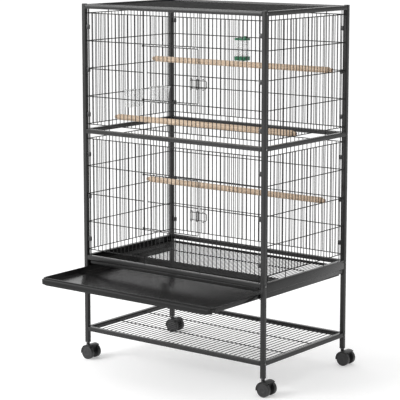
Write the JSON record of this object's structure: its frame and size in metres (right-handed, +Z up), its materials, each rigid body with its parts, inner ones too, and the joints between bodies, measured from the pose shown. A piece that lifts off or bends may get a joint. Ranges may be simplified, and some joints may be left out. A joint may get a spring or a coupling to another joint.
{
  "type": "bird cage on stand",
  "caption": "Tall rectangular wire flight cage on a wheeled tube stand, with front doors, sliding floor grate, pull-out tray, perches, feeders and a lower shelf.",
  "frame": {"origin": "bottom centre of the bounding box with the tray drawn out as at rest, on the floor", "axes": "+Z up, -Y towards the front with the doors and the tray, +X to the right seen from the front"},
  "size_m": [0.858, 0.807, 1.32],
  "materials": {
    "steel": "charcoal powder coat",
    "tray_plastic": "glossy dark grey",
    "perch_wood": "smooth natural dowel",
    "clear_plastic": "clear moulded plastic",
    "green_plastic": "moulded green",
    "caster_plastic": "black moulded"
  },
  "bodies": {
    "cage": {"front_left_post": "steel", "front_left_leg_plug": "caster_plastic", "front_right_post": "steel", "front_right_leg_plug": "caster_plastic", "back_left_post": "steel", "back_left_leg_plug": "caster_plastic", "back_right_post": "steel", "back_right_leg_plug": "caster_plastic", "top_front_rail": "steel", "top_back_rail": "steel", "top_left_rail": "steel", "top_right_rail": "steel", "mid_front_rail": "steel", "mid_back_rail": "steel", "mid_left_rail": "steel", "mid_right_rail": "steel", "shelf_front_rail": "steel", "shelf_back_rail": "steel", "shelf_left_rail": "steel", "shelf_right_rail": "steel", "base_front_rail": "steel", "base_back_rail": "steel", "left_apron": "steel", "right_apron": "steel", "upper_front_left_panel": "steel", "upper_front_right_panel": "steel", "upper_back_panel": "steel", "upper_left_panel": "steel", "upper_right_panel": "steel", "lower_front_left_panel": "steel", "lower_front_right_panel": "steel", "lower_back_panel": "steel", "lower_left_panel": "steel", "lower_right_panel": "steel", "roof_panel": "steel", "shelf_wires": "steel", "upper_perch": "perch_wood", "middle_perch": "perch_wood", "lower_perch": "perch_wood", "front_feeder_cup": "clear_plastic", "back_feeder_cup": "clear_plastic", "seed_hopper_bin": "clear_plastic", "seed_hopper_base": "green_plastic", "seed_hopper_clip": "green_plastic"},
    "tray": {"tray": "tray_plastic"},
    "floor_grate": {"floor_grate": "steel"},
    "upper_door": {"upper_door": "steel"},
    "upper_latch": {"upper_latch": "steel"},
    "lower_door": {"lower_door": "steel"},
    "lower_latch": {"lower_latch": "steel"},
    "front_left_caster": {"front_left_caster_frame": "caster_plastic"},
    "front_left_wheels": {"front_left_caster_wheels": "caster_plastic"},
    "front_right_caster": {"front_right_caster_frame": "caster_plastic"},
    "front_right_wheels": {"front_right_caster_wheels": "caster_plastic"},
    "back_left_caster": {"back_left_caster_frame": "caster_plastic"},
    "back_left_wheels": {"back_left_caster_wheels": "caster_plastic"},
    "back_right_caster": {"back_right_caster_frame": "caster_plastic"},
    "back_right_wheels": {"back_right_caster_wheels": "caster_plastic"}
  },
  "joints": [
    {"name": "tray_slide", "type": "slide", "parent": "cage", "child": "tray", "axis": [0, -1, 0], "range_m": [-0.262, 0.1]},
    {"name": "grate_slide", "type": "slide", "parent": "cage", "child": "floor_grate", "axis": [0, -1, 0], "range_m": [0, 0.4]},
    {"name": "upper_door_hinge", "type": "hinge", "parent": "cage", "child": "upper_door", "pos_m": [-0.14108, -0.1265, 1.086], "axis": [0, 0, -1], "range_deg": [0, 160]},
    {"name": "upper_latch_slide", "type": "slide", "parent": "upper_door", "child": "upper_latch", "axis": [-1, 0, 0], "range_m": [0, 0.022]},
    {"name": "lower_door_hinge", "type": "hinge", "parent": "cage", "child": "lower_door", "pos_m": [-0.14108, -0.1265, 0.622], "axis": [0, 0, -1], "range_deg": [0, 160]},
    {"name": "lower_latch_slide", "type": "slide", "parent": "lower_door", "child": "lower_latch", "axis": [-1, 0, 0], "range_m": [0, 0.022]},
    {"name": "front_left_swivel", "type": "hinge", "parent": "cage", "child": "front_left_caster", "pos_m": [-0.41575, -0.1265, 0.05], "axis": [0, 0, 1], "continuous": true},
    {"name": "front_left_spin", "type": "hinge", "parent": "front_left_caster", "child": "front_left_wheels", "pos_m": [-0.39975, -0.1265, 0.02479], "axis": [0, 1, 0], "continuous": true},
    {"name": "front_right_swivel", "type": "hinge", "parent": "cage", "child": "front_right_caster", "pos_m": [0.38825, -0.1265, 0.05], "axis": [0, 0, 1], "continuous": true},
    {"name": "front_right_spin", "type": "hinge", "parent": "front_right_caster", "child": "front_right_wheels", "pos_m": [0.40425, -0.1265, 0.02479], "axis": [0, 1, 0], "continuous": true},
    {"name": "back_left_swivel", "type": "hinge", "parent": "cage", "child": "back_left_caster", "pos_m": [-0.41575, 0.3775, 0.05], "axis": [0, 0, 1], "continuous": true},
    {"name": "back_left_spin", "type": "hinge", "parent": "back_left_caster", "child": "back_left_wheels", "pos_m": [-0.39975, 0.3775, 0.02479], "axis": [0, 1, 0], "continuous": true},
    {"name": "back_right_swivel", "type": "hinge", "parent": "cage", "child": "back_right_caster", "pos_m": [0.38825, 0.3775, 0.05], "axis": [0, 0, 1], "continuous": true},
    {"name": "back_right_spin", "type": "hinge", "parent": "back_right_caster", "child": "back_right_wheels", "pos_m": [0.40425, 0.3775, 0.02479], "axis": [0, 1, 0], "continuous": true}
  ]
}
